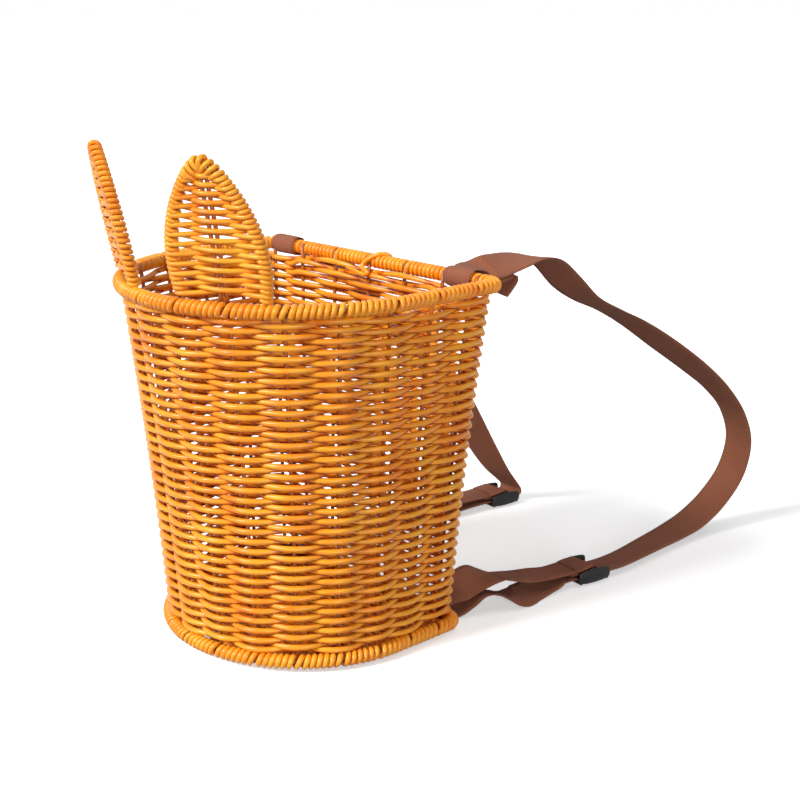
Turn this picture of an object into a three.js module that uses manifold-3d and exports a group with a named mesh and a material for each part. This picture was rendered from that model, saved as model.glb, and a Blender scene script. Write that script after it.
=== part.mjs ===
// Woven basket backpack with two upright ears, in millimetres, +Z up, front towards -Y.
// The origin is on the floor, under the centre of the rounded front.
import * as THREE from 'three';
import Module from 'manifold-3d';

const wasm = await Module();
wasm.setup();

// Cane and wire
const CANE = 3.0;
const WIRE = 2.5;
const CLEARANCE = 0.3;
const ROLL = WIRE + 2 * CANE;
const WIRE_SIDES = 6;
const ROLL_SIDES = 10;
const BORE_PAST = 2;

// Plan of the rim and of the base, on the hoop wires: half width, front reach, back reach
const RIM = { half: 105, front: 105, back: 68.5, corner: 7, z: 222.4 };
const BASE = { half: 87, front: 82.5, back: 55.5, corner: 10, z: 6.3 };
const FLARE = 0.3;
const ARC_STEPS = 28;
const CORNER_STEPS = 3;
const SIDE_STEPS = 3;
const BACK_STEPS = 6;
const PLAN_COUNT = 2 * (ARC_STEPS / 2 + SIDE_STEPS + CORNER_STEPS + BACK_STEPS);

// Wall: the rise of each turn of its cane, and the least cover over a stake
const WALL_TOP_GAP = 2.0;
const WALL_LEVELS = 5;
const WEAVE_PITCH = 3.2;
const WEAVE_COVER = 0.5;

// Upright stakes, evenly spread between a first and a last: those of the front and sides by length from
// the front centre, the back ones by x
const STAKE_ENDS = [-234.5, 245.5];
const STAKE_COUNT = 16;
const BACK_STAKE_ENDS = [62, -70.8];
const BACK_STAKE_COUNT = 5;

// Base panel
const BASE_THICK = 8.5;
const BASE_STAKE_PITCH = 30;
const BASE_STAKE_COUNT = 5;

// Ears: angles round the front, lean outwards, and the frame wire as half width and height
const EAR_ANGLE = { right: 27.5, left: -26 };
const EAR_HALF_SPREAD = 16;
const EAR_LEAN = 11.5;
const EAR_THICK = 8.2;
const EAR_EDGE_ROUND = 2.2;
const EAR_WIRE = [[25, 0], [26.8, 12], [27, 25], [24.6, 39], [19.4, 53], [12, 66], [5.6, 74], [0, 77.6]];
const EAR_STAKE_OFFSET = 1.9;
const EAR_STAKE_TOP = 62;
const EAR_STEPS = 28;
const EAR_ROUND_STEPS = 2;

// Webbing and its turns round the two back bars
const WEB_WIDTH = 22;
const WEB_THICK = 1.2;
const WEB_GAP = 0.4;
const WEB_STACK = WEB_THICK + WEB_GAP;
const SLOT_EASE = 0.5;
const PIVOT_REACH = 16.5;
const PIVOT_Y = RIM.back + PIVOT_REACH;
const RUN_Z = 5.2;
const RUN_STATIONS = 5;
const PIVOT_STEPS = 6;
const TURN_STEPS = 8;

// Legs of the turns as share of the way from the bar to the pivot, y from the pivot and z from
// the leg's own height
const LOW_LEAVE = 90;
const LOW_UPPER_LEG = [[1, 8, 0], [1, -12, 0], [0.5, -17, 1], [0, -22.5, 4.2]];
const LOW_LOWER_LEG = [[0, -22.5, -2.4], [0.5, -12, -0.6], [1, -4, 0], [1, 8, 0]];

// Slider: a three-bar buckle, its two end bars under the passing web and its middle bar above it
const SLIDER_LENGTH = 27;
const SLIDER_RAIL = 2.5;
const SLIDER_SIDE_GAP = 0.6;
const SLIDER_LOW = 0.9;
const SLIDER_HIGH = 11;
const SLIDER_BAR = 3;
const SLIDER_END_BAR = 11.3;
const SLIDER_MIDDLE_Z = 9.4;
const SLIDER_BAR_SIDES = 8;
const SLIDER_BAR_SUNK = 1;
const SLIDER_OVAL_STEPS = 10;
const SEWN_REACH = 18;
const SEWN_BEND_STEPS = 6;
const SEWN_BULGE = 0.4;
const RETURN_FLAT = 6;
const RETURN_LANDING = 18;
const RETURN_RISE = [26, 0.3];

// Shoulder straps. Insets are from the end of the rim or base hoop to the top turn, the pivot and the
// bottom turn. The top pivot stands at a rise over the rim, and the web leaves the rim at an angle over
// the way out of the back. The route runs from the top pivot to the straight run on the floor, as x from
// the pivot, y, z from the floor and roll in degrees.
const RIGHT = {
  name: 'right',
  hand: 1,
  loopInset: 29.7,
  pivotInset: 34,
  anchorInset: 21,
  topRise: 1.9,
  leave: 90,
  topUpper: [[1, 8, 0], [1, 0, 0], [0.5, -5, 0.3], [0, -10.5, 1.3]],
  topLower: [
    [0, -10.5, -4], [0.5, -6, -1.2], [1, -2, -0.1], [1, 2, 0], [1, 8, 0],
    [1, 16, -0.4], [1, 20, -4], [1, 22, -15],
  ],
  runEnd: [20, 203],
  sliderY: 178,
  route: [
    [0, 101, 224.3, 0], [0.5, 108, 224.9, 3], [1.7, 119, 226.9, 8], [2, 134, 227.4, 4],
    [0, 154, 219.4, -15], [-3.5, 175, 204.4, -26], [-5, 197, 189.9, -13], [-3, 220, 178.9, -8],
    [0, 243, 166.9, -13], [6, 272, 147.9, -20], [14, 302, 125.9, -17], [20, 321, 108.9, -8],
    [24, 337, 88.9, -1], [25.5, 345, 65.9, -2], [23.5, 340, 41.9, -10], [19.5, 324, 22.5, -16],
    [17.3, 302, 11.3, -16], [17.2, 277, 7.4, -10], [18, 250, 5.9, -4], [19.6, 225, 5.3, 0],
  ],
};
const LEFT = {
  name: 'left',
  hand: -1,
  loopInset: 17.7,
  pivotInset: 25,
  anchorInset: 21,
  topRise: -4.2,
  leave: 50,
  topUpper: [[1, 6, 0], [1, 1, 0], [0.7, -3.5, 0.5], [0.2, -8, 2.6]],
  topLower: [
    [0, -10.5, 0.2], [0.5, -6, 0.1], [1, -2, 0], [1, 2, 0], [1, 4.5, -0.5], [1, 6, -3], [1, 6.6, -14],
  ],
  runEnd: [21.4, 262],
  sliderY: 249,
  route: [
    [0, 96, 218.1, 0], [0, 100.5, 216.6, 0], [0.1, 106, 211, 0], [0.5, 114, 200.5, 0], [2, 128, 183, 1],
    [5, 150, 160, 3], [9, 175, 139, 5], [13, 199, 116, 5], [16.2, 217, 92, 4],
    [17.5, 225, 77.9, 4], [19.5, 241, 49.7, 2], [21, 255, 27, 0], [21.4, 263.5, 14.3, 0],
    [21.5, 266, 9.3, 0], [21.5, 264.9, 6.3, 0],
  ],
};
const STRAPS = [RIGHT, LEFT].map((side) => ({
  ...side,
  loopX: side.hand * (RIM.half - side.loopInset),
  pivotX: side.hand * (RIM.half - side.pivotInset),
  anchorX: side.hand * (BASE.half - side.anchorInset),
  topZ: RIM.z + side.topRise,
}));

// Colours, roughness and metalness
const WICKER = [0xe8983a, 0.42, 0];
const WIRE_COAT = [0xb0621f, 0.45, 0];
const WEBBING = [0x704a3a, 0.9, 0];
const BUCKLE = [0x17171a, 0.38, 0];

const UP = new THREE.Vector3(0, 0, 1);
const FORWARD = new THREE.Vector3(0, -1, 0);
const group = new THREE.Group();
group.name = 'basket_backpack';

// Adds a solid as a named mesh with its own material.
function piece(name, geometry, [color, roughness, metalness]) {
  const material = new THREE.MeshStandardMaterial({ color, roughness, metalness });
  const mesh = new THREE.Mesh(geometry, material);
  mesh.name = name;
  group.add(mesh);
}

// Skins a row of equal sections into a closed body: a ring, or a bar with flat end caps.
function skin(sections, ring = false) {
  const count = sections[0].length;
  const rows = sections.length;
  const position = sections.flat().flatMap((p) => [p.x, p.y, p.z]);
  const index = [];
  for (let r = 0; r < (ring ? rows : rows - 1); r += 1) {
    for (let c = 0; c < count; c += 1) {
      const a = r * count + c;
      const b = r * count + ((c + 1) % count);
      const d = ((r + 1) % rows) * count + c;
      const e = ((r + 1) % rows) * count + ((c + 1) % count);
      index.push(a, b, e, a, e, d);
    }
  }
  if (!ring) {
    const last = (rows - 1) * count;
    for (let c = 1; c < count - 1; c += 1) {
      index.push(0, c + 1, c, last, last + c, last + c + 1);
    }
  }
  const geometry = new THREE.BufferGeometry();
  geometry.setAttribute('position', new THREE.Float32BufferAttribute(position, 3));
  geometry.setIndex(index);
  geometry.computeVertexNormals();
  return geometry;
}

// Turns a geometry into a solid for cutting, joining its doubled corners.
function solid({ attributes, index }) {
  const corners = index ? index.array : [...Array(attributes.position.count).keys()];
  const mesh = new wasm.Mesh({
    numProp: 3,
    vertProperties: new Float32Array(attributes.position.array),
    triVerts: new Uint32Array(corners),
  });
  mesh.merge();
  return new wasm.Manifold(mesh);
}

// Turns a cut solid back into a geometry.
function plain(body) {
  const mesh = body.getMesh();
  const geometry = new THREE.BufferGeometry();
  geometry.setAttribute('position', new THREE.Float32BufferAttribute([...mesh.vertProperties], mesh.numProp));
  geometry.setIndex([...mesh.triVerts]);
  geometry.computeVertexNormals();
  return geometry;
}

function cut(geometry, cutters) {
  return plain(cutters.reduce((body, cutter) => body.subtract(solid(cutter)), solid(geometry)));
}

// A box between two corners.
function box(x0, y0, z0, x1, y1, z1) {
  const geometry = new THREE.BoxGeometry(x1 - x0, y1 - y0, z1 - z0);
  geometry.translate((x0 + x1) / 2, (y0 + y1) / 2, (z0 + z1) / 2);
  return geometry;
}

// A round bar along a row of points, or round a closed row. Its sections turn with the row without twist.
function bar(points, radius, sides, ring = false) {
  const rows = points.length;
  const side = new THREE.Vector3();
  const sections = points.map((p, i) => {
    const before = points[ring ? (i + rows - 1) % rows : Math.max(i - 1, 0)];
    const after = points[ring ? (i + 1) % rows : Math.min(i + 1, rows - 1)];
    const run = after.clone().sub(before).normalize();
    if (i === 0) side.crossVectors(run, Math.abs(run.z) > 0.8 ? FORWARD : UP);
    side.addScaledVector(run, -side.dot(run)).normalize();
    const other = new THREE.Vector3().crossVectors(run, side);
    return Array.from({ length: sides }, (_, k) => {
      const angle = (2 * Math.PI * (k + 0.5)) / sides;
      return p.clone().addScaledVector(side, radius * Math.cos(angle))
        .addScaledVector(other, radius * Math.sin(angle));
    });
  });
  return skin(sections, ring);
}

// The plan outline from the front centre round by the right side, as points with equal
// indices on every level.
function plan({ half, front, back, corner }) {
  const right = [];
  for (let k = 0; k < ARC_STEPS / 2; k += 1) {
    const a = (Math.PI * k) / ARC_STEPS;
    right.push([half * Math.sin(a), -front * Math.cos(a)]);
  }
  for (let k = 0; k < SIDE_STEPS; k += 1) {
    right.push([half, ((back - corner) * k) / SIDE_STEPS]);
  }
  for (let k = 0; k < CORNER_STEPS; k += 1) {
    const a = (Math.PI / 2) * (k / CORNER_STEPS);
    right.push([half - corner + corner * Math.cos(a), back - corner + corner * Math.sin(a)]);
  }
  for (let k = 0; k <= BACK_STEPS; k += 1) {
    right.push([(half - corner) * (1 - k / BACK_STEPS), back]);
  }
  const left = right.slice(1, -1).reverse().map(([x, y]) => [-x, y]);
  return [...right, ...left];
}

// Height of a level and its plan, moved out by an offset; 0 is the base hoop and 1 the rim hoop.
function level(t, offset) {
  const f = t + FLARE * (t * t - t);
  const mix = (key) => BASE[key] + (RIM[key] - BASE[key]) * f;
  const size = { half: mix('half') + offset, front: mix('front') + offset, back: mix('back') + offset };
  size.corner = mix('corner') + offset;
  const z = BASE.z + (RIM.z - BASE.z) * t;
  return plan(size).map(([x, y]) => new THREE.Vector3(x, y, z));
}

const levelAt = (z) => (z - BASE.z) / (RIM.z - BASE.z);
const spread = (from, to, count) => Array.from(
  { length: count }, (_, k) => from + ((to - from) * k) / (count - 1));
const along = (loop, index) => {
  const k = Math.floor(index);
  return loop[k % loop.length].clone().lerp(loop[(k + 1) % loop.length], index - k);
};

// Fractional index of the place on the rim that lies a length round from the front centre.
function indexByLength(length) {
  const loop = level(1, 0);
  const steps = loop.map((p, k) => p.distanceTo(loop[(k + 1) % loop.length]));
  const total = steps.reduce((a, b) => a + b, 0);
  let rest = ((length % total) + total) % total;
  let k = 0;
  while (rest > steps[k]) {
    rest -= steps[k];
    k += 1;
  }
  return k + rest / steps[k];
}

// Fractional index of a place on the straight back of the rim.
function indexByBack(x) {
  const first = ARC_STEPS / 2 + SIDE_STEPS + CORNER_STEPS;
  return first + (BACK_STEPS * (RIM.half - RIM.corner - x)) / (RIM.half - RIM.corner);
}

// Hoops, each with its two lengths of close cane wrap
function hoop(name, t) {
  const loop = level(t, 0);
  const first = ARC_STEPS / 2 + SIDE_STEPS + CORNER_STEPS;
  const last = loop.length - first;
  piece(`${name}_hoop_wire`, bar(loop, WIRE / 2, WIRE_SIDES, true), WIRE_COAT);
  const past = (from, to, length) => loop[to].clone().sub(loop[from]).setLength(length).add(loop[from]);
  const front = [past(last, last - 1, CANE), ...loop.slice(last), ...loop.slice(0, first + 1),
    past(first, first + 1, CANE)];
  const back = [past(first, first + 1, CANE + CLEARANCE), ...loop.slice(first + 1, last),
    past(last, last - 1, CANE + CLEARANCE)];
  const bore = bar(loop, WIRE / 2 + CLEARANCE, WIRE_SIDES, true);
  piece(`${name}_wrap_front`, cut(bar(front, ROLL / 2, ROLL_SIDES), [bore]), WICKER);
  piece(`${name}_wrap_back`, cut(bar(back, ROLL / 2, ROLL_SIDES), [bore]), WICKER);
}
hoop('rim', 1);
hoop('base', 0);

// Upright stakes, each in its own run through the woven wall. A stake over a lower web turn stops above it.
const WALL_LOW = BASE.z + ROLL / 2 + CLEARANCE;
const WALL_HIGH = RIM.z - ROLL / 2 - WALL_TOP_GAP;
const STAKE_HIGH = RIM.z - ROLL / 2 - CLEARANCE;
const NOTCH_HIGH = BASE.z + ROLL / 2 + WEB_THICK + 2 * WEB_GAP;
const SLOT_HALF = WEB_WIDTH / 2 + SLOT_EASE;
const overTurn = ({ x, y }) => y > 0
  && STRAPS.some(({ anchorX }) => Math.abs(x - anchorX) < SLOT_HALF + WIRE);
const stakeIndices = [
  ...spread(...STAKE_ENDS, STAKE_COUNT).map(indexByLength),
  ...spread(...BACK_STAKE_ENDS, BACK_STAKE_COUNT).map(indexByBack),
];
const stakeRun = (index, low, high) => spread(low, high, WALL_LEVELS)
  .map((z) => along(level(levelAt(z), 0), index));
stakeIndices.forEach((index, k) => {
  const low = overTurn(along(level(0, 0), index)) ? NOTCH_HIGH : WALL_LOW;
  const number = String(k + 1).padStart(2, '0');
  piece(`stake_${number}`, bar(stakeRun(index, low, STAKE_HIGH), WIRE / 2, WIRE_SIDES), WIRE_COAT);
});

// Woven wall: one cane climbs round and round, before one stake and behind the next, in turns so close
// that they make a shell. Each turn is a row of places, at the stakes and midway between them. The inside
// is plainer: it follows the depth of the weave at the stakes and between them.
const weavePlaces = stakeIndices.flatMap((index, k) => {
  const next = stakeIndices[(k + 1) % stakeIndices.length];
  const gap = (next - index + PLAN_COUNT) % PLAN_COUNT;
  return [index, (index + gap / 2) % PLAN_COUNT];
});
const weaveCover = WIRE / 2 + CLEARANCE + WEAVE_COVER;
const weaveOut = (WIRE + CANE) / 2 + CANE / 2;
const weaveDepths = [weaveOut, CANE / 2, weaveCover, CANE / 2];
function weave() {
  const turn = weavePlaces.length;
  const count = turn * (Math.ceil((WALL_HIGH - WALL_LOW) / WEAVE_PITCH) + 2);
  const corners = Array.from({ length: count + 1 }, (_, n) => {
    const t = levelAt(WALL_LOW + WEAVE_PITCH * (n / turn - 1));
    return along(level(t, weaveDepths[n % weaveDepths.length]), weavePlaces[n % turn]);
  });
  const low = corners.push(new THREE.Vector3(0, 0, corners[0].z)) - 1;
  const high = corners.push(new THREE.Vector3(0, 0, corners[count].z)) - 1;
  const index = [low, 0, turn, high, count, count - turn];
  for (let n = 0; n < turn; n += 1) {
    index.push(low, n + 1, n, high, count - turn + n, count - turn + n + 1);
  }
  for (let n = 0; n < count - turn; n += 1) {
    index.push(n, n + 1, n + turn + 1, n, n + turn + 1, n + turn);
  }
  const geometry = new THREE.BufferGeometry();
  geometry.setAttribute('position', new THREE.Float32BufferAttribute(corners.flatMap((p) => [...p]), 3));
  return geometry.setIndex(index);
}
const insideDepths = [(weaveOut + weaveCover) / 2, CANE / 2];
const hollow = skin(spread(WALL_LOW - BORE_PAST, WALL_HIGH + BORE_PAST, WALL_LEVELS).map(
  (z) => weavePlaces.map((place, n) => along(level(levelAt(z), -insideDepths[n % 2]), place))));
const beyond = [[-RIM.z, WALL_LOW], [WALL_HIGH, 2 * RIM.z]].map(
  ([low, high]) => box(-2 * RIM.half, -2 * RIM.front, low, 2 * RIM.half, 2 * RIM.front, high));
const notches = STRAPS.map(({ anchorX }) => box(
  anchorX - SLOT_HALF, BASE.back - ROLL, 0, anchorX + SLOT_HALF, BASE.back + ROLL, NOTCH_HIGH));
const bores = stakeIndices.map((index) => bar(
  stakeRun(index, WALL_LOW - BORE_PAST, WALL_HIGH + BORE_PAST), WIRE / 2 + CLEARANCE, WIRE_SIDES));
piece('woven_wall', cut(weave(), [hollow, ...beyond, ...bores, ...notches]), WICKER);

// Woven base with its cross stakes, flat underneath
const baseInset = -(ROLL / 2 + CLEARANCE);
const baseLow = level(0, baseInset).map(({ x, y }) => new THREE.Vector3(x, y, 0));
const baseHigh = baseLow.map(({ x, y }) => new THREE.Vector3(x, y, BASE_THICK));
const slotY = BASE.back + baseInset - WEB_STACK;
const baseSlots = STRAPS.map(({ anchorX }) => box(
  anchorX - SLOT_HALF, slotY, -BORE_PAST, anchorX + SLOT_HALF, BASE.back, BASE_THICK + BORE_PAST));
const baseStakes = Array.from({ length: BASE_STAKE_COUNT }, (_, k) => {
  const x = BASE_STAKE_PITCH * (k - (BASE_STAKE_COUNT - 1) / 2);
  const frontY = WIRE - (BASE.front + baseInset) * Math.sqrt(1 - (x / (BASE.half + baseInset)) ** 2);
  return [frontY, slotY].map((y) => new THREE.Vector3(x, y, BASE_THICK / 2));
});
const throughBase = ([front, back]) => [
  front.clone().setY(front.y - ROLL), back.clone().setY(back.y + ROLL)];
const baseBores = baseStakes.map((ends) => bar(throughBase(ends), WIRE / 2 + CLEARANCE, WIRE_SIDES));
piece('base_panel', cut(skin([baseLow, baseHigh]), [...baseSlots, ...baseBores]), WICKER);
baseStakes.forEach((ends, k) => piece(`base_stake_${k + 1}`, bar(ends, WIRE / 2, WIRE_SIDES), WIRE_COAT));

// Ears: a bent frame wire and two middle stakes inside a woven leaf
function ear(name, degrees) {
  const turn = THREE.MathUtils.degToRad(degrees);
  const lean = THREE.MathUtils.degToRad(EAR_LEAN);
  const out = new THREE.Vector3(Math.sin(turn), -Math.cos(turn), 0);
  const side = new THREE.Vector3(Math.cos(turn), Math.sin(turn), 0);
  const rise = UP.clone().multiplyScalar(Math.cos(lean)).addScaledVector(out, Math.sin(lean));
  const face = new THREE.Vector3().crossVectors(side, rise);
  const foot = out.clone().multiplyScalar(RIM.front * Math.cos(THREE.MathUtils.degToRad(EAR_HALF_SPREAD)));
  foot.z = RIM.z + ROLL / 2 + CLEARANCE + (EAR_THICK / 2) * Math.sin(lean);
  const place = new THREE.Matrix4().makeBasis(side, rise, face).setPosition(foot);
  const at = (u, v) => new THREE.Vector3(u, v, 0).applyMatrix4(place);

  const half = EAR_WIRE.map(([u, v]) => new THREE.Vector3(u, v, 0));
  const mirrored = half.slice(0, -1).reverse().map(({ x, y }) => new THREE.Vector3(-x, y, 0));
  const curve = new THREE.CatmullRomCurve3([...half, ...mirrored]);
  const wire = curve.getPoints(EAR_STEPS);
  const edge = EAR_THICK / 2 - EAR_EDGE_ROUND;
  const rim = wire.map((p, k) => {
    const t = curve.getTangent(k / EAR_STEPS);
    return new THREE.Vector2(p.x + t.y * edge, Math.max(p.y - t.x * edge, EAR_EDGE_ROUND));
  });
  const leaf = new THREE.ExtrudeGeometry(new THREE.Shape(rim), {
    depth: EAR_THICK - 2 * EAR_EDGE_ROUND,
    bevelThickness: EAR_EDGE_ROUND,
    bevelSize: EAR_EDGE_ROUND,
    bevelSegments: EAR_ROUND_STEPS,
    steps: 1,
  });
  leaf.translate(0, 0, EAR_EDGE_ROUND - EAR_THICK / 2).applyMatrix4(place);

  const run = wire.map(({ x, y }) => at(x, y));
  const legs = [at(wire[0].x, -BORE_PAST), ...run.slice(1, -1), at(wire.at(-1).x, -BORE_PAST)];
  const stakes = [-1, 1].map((hand) => [0, 1].map((k) => at(hand * EAR_STAKE_OFFSET, EAR_STAKE_TOP * k)));
  const stakeBores = [-1, 1].map((hand) => [
    at(hand * EAR_STAKE_OFFSET, -BORE_PAST), at(hand * EAR_STAKE_OFFSET, EAR_STAKE_TOP + CLEARANCE)]);
  const cutters = [legs, ...stakeBores].map((points) => bar(points, WIRE / 2 + CLEARANCE, WIRE_SIDES));
  piece(`${name}_ear_leaf`, cut(leaf, cutters), WICKER);
  piece(`${name}_ear_wire`, bar(run, WIRE / 2, WIRE_SIDES), WIRE_COAT);
  stakes.forEach((points, k) => {
    piece(`${name}_ear_stake_${k + 1}`, bar(points, WIRE / 2, WIRE_SIDES), WIRE_COAT);
  });
}
ear('right', EAR_ANGLE.right);
ear('left', EAR_ANGLE.left);

// A length of flat web along points with a roll in degrees. A round end swings about its first or
// last point, which is the pivot there. A turn round a bar keeps its width level, along X.
function web(stations, { steps = 2, roundFirst = false, roundLast = false, keepLevel = false } = {}) {
  const points = stations.map(([x, y, z]) => new THREE.Vector3(x, y, z));
  const curve = new THREE.CatmullRomCurve3(points, false, 'centripetal');
  const count = (stations.length - 1) * steps;
  const rows = Array.from({ length: count + 1 }, (_, k) => {
    const u = k / count;
    const from = Math.min(Math.floor(u * (stations.length - 1)), stations.length - 2);
    const blend = u * (stations.length - 1) - from;
    const roll = THREE.MathUtils.degToRad(stations[from][3] * (1 - blend) + stations[from + 1][3] * blend);
    return { centre: curve.getPoint(u), tangent: curve.getTangent(u), roll, half: WEB_WIDTH / 2 };
  });
  const end = (row, sign) => Array.from({ length: PIVOT_STEPS }, (_, k) => {
    const a = (Math.PI / 2) * ((k + 1) / (PIVOT_STEPS + 0.5));
    return {
      ...row,
      centre: row.centre.clone().addScaledVector(row.tangent, (sign * WEB_WIDTH * Math.sin(a)) / 2),
      half: (WEB_WIDTH / 2) * Math.cos(a),
    };
  });
  const first = roundFirst ? end(rows[0], -1).reverse() : [];
  const last = roundLast ? end(rows[count], 1) : [];
  return skin([...first, ...rows, ...last].map(({ centre, tangent, roll, half }) => {
    const flat = new THREE.Vector3(1, 0, 0).addScaledVector(tangent, keepLevel ? 0 : -tangent.x).normalize();
    const under = new THREE.Vector3().crossVectors(tangent, flat).normalize();
    const wide = flat.clone().multiplyScalar(Math.cos(roll)).addScaledVector(under, Math.sin(roll));
    const thick = new THREE.Vector3().crossVectors(tangent, wide).normalize();
    return [[1, 1], [-1, 1], [-1, -1], [1, -1]].map(([w, h]) => centre.clone()
      .addScaledVector(wide, w * half).addScaledVector(thick, (h * WEB_THICK) / 2));
  }));
}

// The turn of web round a back bar: from its upper leg over, inside and under the bar to its lower leg.
function turn({ barX, barY, barZ, leave, pivotX, upper, upperZ, lower, lowerZ }) {
  const radius = ROLL / 2 + WEB_GAP + WEB_THICK / 2;
  const leg = (stations, height) => stations.map(
    ([share, y, z]) => [barX + (pivotX - barX) * share, PIVOT_Y + y, height + z, 0]);
  const round = spread(THREE.MathUtils.degToRad(leave), (3 * Math.PI) / 2, TURN_STEPS + 1).map(
    (a) => [barX, barY + radius * Math.cos(a), barZ + radius * Math.sin(a), 0]);
  return web([...leg(upper, upperZ), ...round, ...leg(lower, lowerZ)], { keepLevel: true });
}

function strap(side) {
  const { name, loopX, pivotX, anchorX, topZ, runEnd, sliderY, route } = side;

  // Top turn: the strap's end lies between its two legs, and the lower leg runs on into a hanging tail.
  piece(`${name}_top_turn`, turn({
    barX: loopX,
    barY: RIM.back,
    barZ: RIM.z,
    leave: side.leave,
    pivotX,
    upper: side.topUpper,
    upperZ: topZ + WEB_STACK,
    lower: side.topLower,
    lowerZ: topZ - WEB_STACK,
  }), WEBBING);

  // Bottom turn: both legs end at the lower pivot, over and under the passing web.
  const overZ = RUN_Z + WEB_STACK;
  piece(`${name}_bottom_turn`, turn({
    barX: anchorX,
    barY: BASE.back,
    barZ: BASE.z,
    leave: LOW_LEAVE,
    pivotX,
    upper: LOW_UPPER_LEG,
    upperZ: overZ,
    lower: LOW_LOWER_LEG,
    lowerZ: RUN_Z - WEB_STACK,
  }), WEBBING);

  // Shoulder web: one length from the top pivot, over the back, to the lower pivot.
  const runX = (y) => pivotX + (runEnd[0] * (y - PIVOT_Y)) / (runEnd[1] - PIVOT_Y);
  const run = spread(runEnd[1], PIVOT_Y, RUN_STATIONS).map((y) => [runX(y), y, RUN_Z, 0]);
  const hang = route.map(([x, y, z, roll]) => [pivotX + x, y, z, roll]);
  piece(`${name}_shoulder_web`, web([[pivotX, PIVOT_Y, topZ, 0], ...hang, ...run],
    { steps: 3, roundFirst: true, roundLast: true }), WEBBING);

  // Slider, in its own frame: length along the run, width across it
  const heading = Math.atan2(runEnd[0], runEnd[1] - PIVOT_Y);
  const centre = new THREE.Matrix4().makeRotationZ(-heading).setPosition(runX(sliderY), sliderY, 0);
  const inside = WEB_WIDTH / 2 + SLIDER_SIDE_GAP;
  const outside = inside + SLIDER_RAIL;
  const rails = [-outside, inside].map((x) => {
    const mid = (SLIDER_LOW + SLIDER_HIGH) / 2;
    const tall = (SLIDER_HIGH - SLIDER_LOW) / 2;
    const oval = new THREE.Shape();
    oval.absellipse(0, 0, tall, SLIDER_LENGTH / 2, 0, 2 * Math.PI);
    const rail = new THREE.ExtrudeGeometry(oval, {
      depth: SLIDER_RAIL,
      bevelEnabled: false,
      curveSegments: SLIDER_OVAL_STEPS,
    });
    return rail.rotateY(Math.PI / 2).translate(x, 0, mid);
  });
  const barEnd = inside + SLIDER_BAR_SUNK;
  const crossBar = (y, z) => bar(
    [-barEnd, barEnd].map((x) => new THREE.Vector3(x, y, z)), SLIDER_BAR / 2, SLIDER_BAR_SIDES);
  const endZ = RUN_Z - WEB_THICK / 2 - WEB_GAP - SLIDER_BAR / 2;
  const bars = [[-SLIDER_END_BAR, endZ], [0, SLIDER_MIDDLE_Z], [SLIDER_END_BAR, endZ]];
  const frame = [...rails, ...bars.map(([y, z]) => crossBar(y, z))].map(solid).reduce((a, b) => a.add(b));
  piece(`${name}_slider`, plain(frame).applyMatrix4(centre), BUCKLE);

  // Sewn end of the web round the slider's middle bar
  const eye = SLIDER_BAR / 2 + CLEARANCE + WEB_THICK / 2;
  const upperLeg = SLIDER_MIDDLE_Z + WEB_STACK / 2;
  const lowerLeg = SLIDER_MIDDLE_Z - WEB_STACK / 2;
  const bend = spread(Math.PI / 2, -Math.PI / 2, SEWN_BEND_STEPS + 1).map(
    (a) => [0, eye * Math.cos(a), SLIDER_MIDDLE_Z + eye * Math.sin(a), 0]);
  piece(`${name}_sewn_end`, web([
    [0, -SEWN_REACH, upperLeg, 0], [0, -SEWN_REACH / 2, upperLeg + SEWN_BULGE, 0], ...bend,
    [0, -SEWN_REACH / 2, lowerLeg - SEWN_BULGE, 0], [0, -SEWN_REACH, lowerLeg, 0],
  ]).applyMatrix4(centre), WEBBING);

  // Return web from the sewn end to the lower pivot, above the passing web
  const returnZ = overZ + WEB_STACK;
  const onRun = (y, z) => [runX(y), y, z, 0];
  const startY = sliderY - (SEWN_REACH + CLEARANCE) * Math.cos(heading);
  piece(`${name}_return_web`, web([
    onRun(startY, upperLeg), onRun(startY - RETURN_FLAT, upperLeg),
    onRun(PIVOT_Y + RETURN_RISE[0], returnZ + RETURN_RISE[1]),
    onRun(PIVOT_Y + RETURN_LANDING, returnZ), onRun(PIVOT_Y, returnZ),
  ], { roundLast: true }), WEBBING);
}
STRAPS.forEach(strap);

export default group;
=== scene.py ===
import math

import bpy
import numpy as np
from mathutils import Matrix, Vector


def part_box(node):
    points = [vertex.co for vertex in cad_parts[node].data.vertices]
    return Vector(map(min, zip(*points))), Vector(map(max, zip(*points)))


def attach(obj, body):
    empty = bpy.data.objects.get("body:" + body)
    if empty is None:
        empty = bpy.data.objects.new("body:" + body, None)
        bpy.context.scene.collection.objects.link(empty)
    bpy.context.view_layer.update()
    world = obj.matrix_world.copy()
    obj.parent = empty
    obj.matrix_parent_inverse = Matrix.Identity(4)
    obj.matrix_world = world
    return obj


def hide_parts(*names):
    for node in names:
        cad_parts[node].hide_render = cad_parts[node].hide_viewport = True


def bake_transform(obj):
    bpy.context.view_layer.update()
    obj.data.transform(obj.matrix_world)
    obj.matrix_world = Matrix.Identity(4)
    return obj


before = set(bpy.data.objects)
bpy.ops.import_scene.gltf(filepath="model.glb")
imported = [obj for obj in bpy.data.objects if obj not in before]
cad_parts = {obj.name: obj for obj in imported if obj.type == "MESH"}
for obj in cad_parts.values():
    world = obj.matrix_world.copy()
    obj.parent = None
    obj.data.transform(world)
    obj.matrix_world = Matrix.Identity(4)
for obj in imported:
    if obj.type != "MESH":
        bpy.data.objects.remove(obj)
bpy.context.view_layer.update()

MM = 0.001

# The two hoops: coated steel wires bent to the plan of the basket, a half oval in front and a flat back
# with rounded corners. The rim hoop is wider than the base hoop, and every other piece of the basket
# hangs between them.
WIRE = 2.5 * MM
RIM_CORNER = 7 * MM
BASE_CORNER = 10 * MM
WIRE_BROWN = (0.34, 0.085, 0.010)
WIRE_AMBER = (0.50, 0.15, 0.018)


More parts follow.
